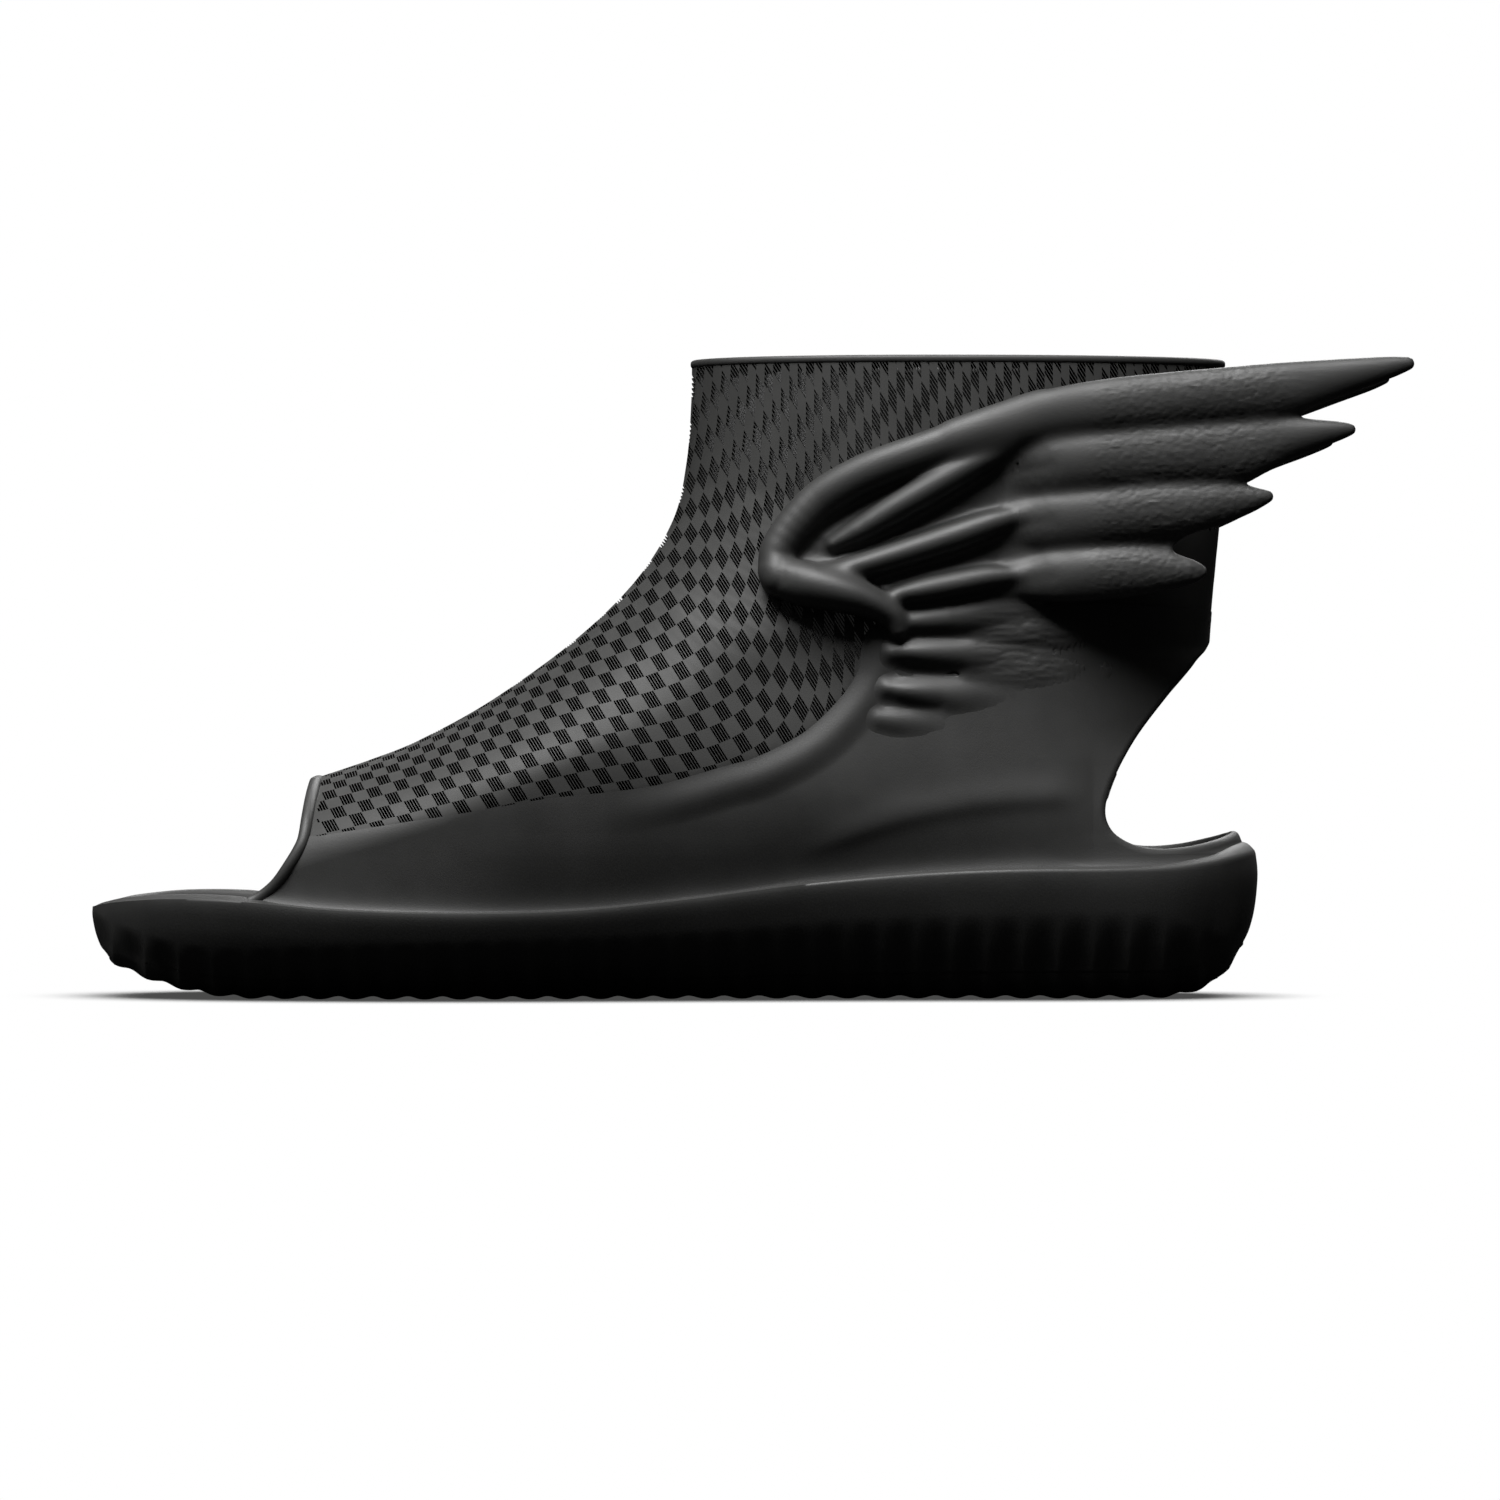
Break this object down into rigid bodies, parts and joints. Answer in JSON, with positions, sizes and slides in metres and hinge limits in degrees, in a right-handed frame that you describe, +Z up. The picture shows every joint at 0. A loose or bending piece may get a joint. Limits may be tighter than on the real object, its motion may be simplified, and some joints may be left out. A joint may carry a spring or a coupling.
{
  "type": "winged open-toe ankle slide",
  "caption": "Left-foot open-toe, open-heel ankle slide with a thick ribbed sole, a slitted lattice collar and a flexible feathered wing on each side.",
  "frame": {"origin": "on the ground, on the face of the tread lug under the middle of the sole, on the sole's mid plane", "axes": "+X from toe to heel, +Y to the medial side (the big-toe side), -Y to the lateral side, +Z up out of the ankle opening"},
  "size_m": [0.3325, 0.1044, 0.161],
  "materials": {
    "tread": "matte moulded elastomer",
    "sole_foam": "matte closed-cell foam skin",
    "footbed_foam": "matte closed-cell foam skin",
    "upper": "matte thermoplastic elastomer with a fine grain",
    "wing": "matte thermoplastic elastomer with a fine grain"
  },
  "bodies": {
    "shoe": {"outsole": "tread", "midsole": "sole_foam", "footbed": "footbed_foam", "side_shell": "upper", "lattice_collar": "upper", "collar_rim": "upper", "toe_opening_rim": "upper", "wing_coverts_lateral": "wing", "wing_coverts_medial": "wing"},
    "toe": {"outsole_toe": "tread", "midsole_toe": "sole_foam", "footbed_toe": "footbed_foam"},
    "lateral_wing": {"wing_primaries_lateral": "wing"},
    "medial_wing": {"wing_primaries_medial": "wing"}
  },
  "joints": [
    {"name": "toe_flex", "type": "hinge", "parent": "shoe", "child": "toe", "pos_m": [-0.108, 0, 0.0245], "axis": [0, 1, 0], "range_deg": [0, 25], "stiffness_Nm_per_rad": 1.5},
    {"name": "lateral_wing_flex", "type": "hinge", "parent": "shoe", "child": "lateral_wing", "pos_m": [0.0862, -0.04, 0.127], "axis": [0, 0, -1], "range_deg": [-10, 20], "stiffness_Nm_per_rad": 0.05},
    {"name": "medial_wing_flex", "type": "hinge", "parent": "shoe", "child": "medial_wing", "pos_m": [0.0862, 0.04, 0.127], "axis": [0, 0, 1], "range_deg": [-10, 20], "stiffness_Nm_per_rad": 0.05}
  ]
}
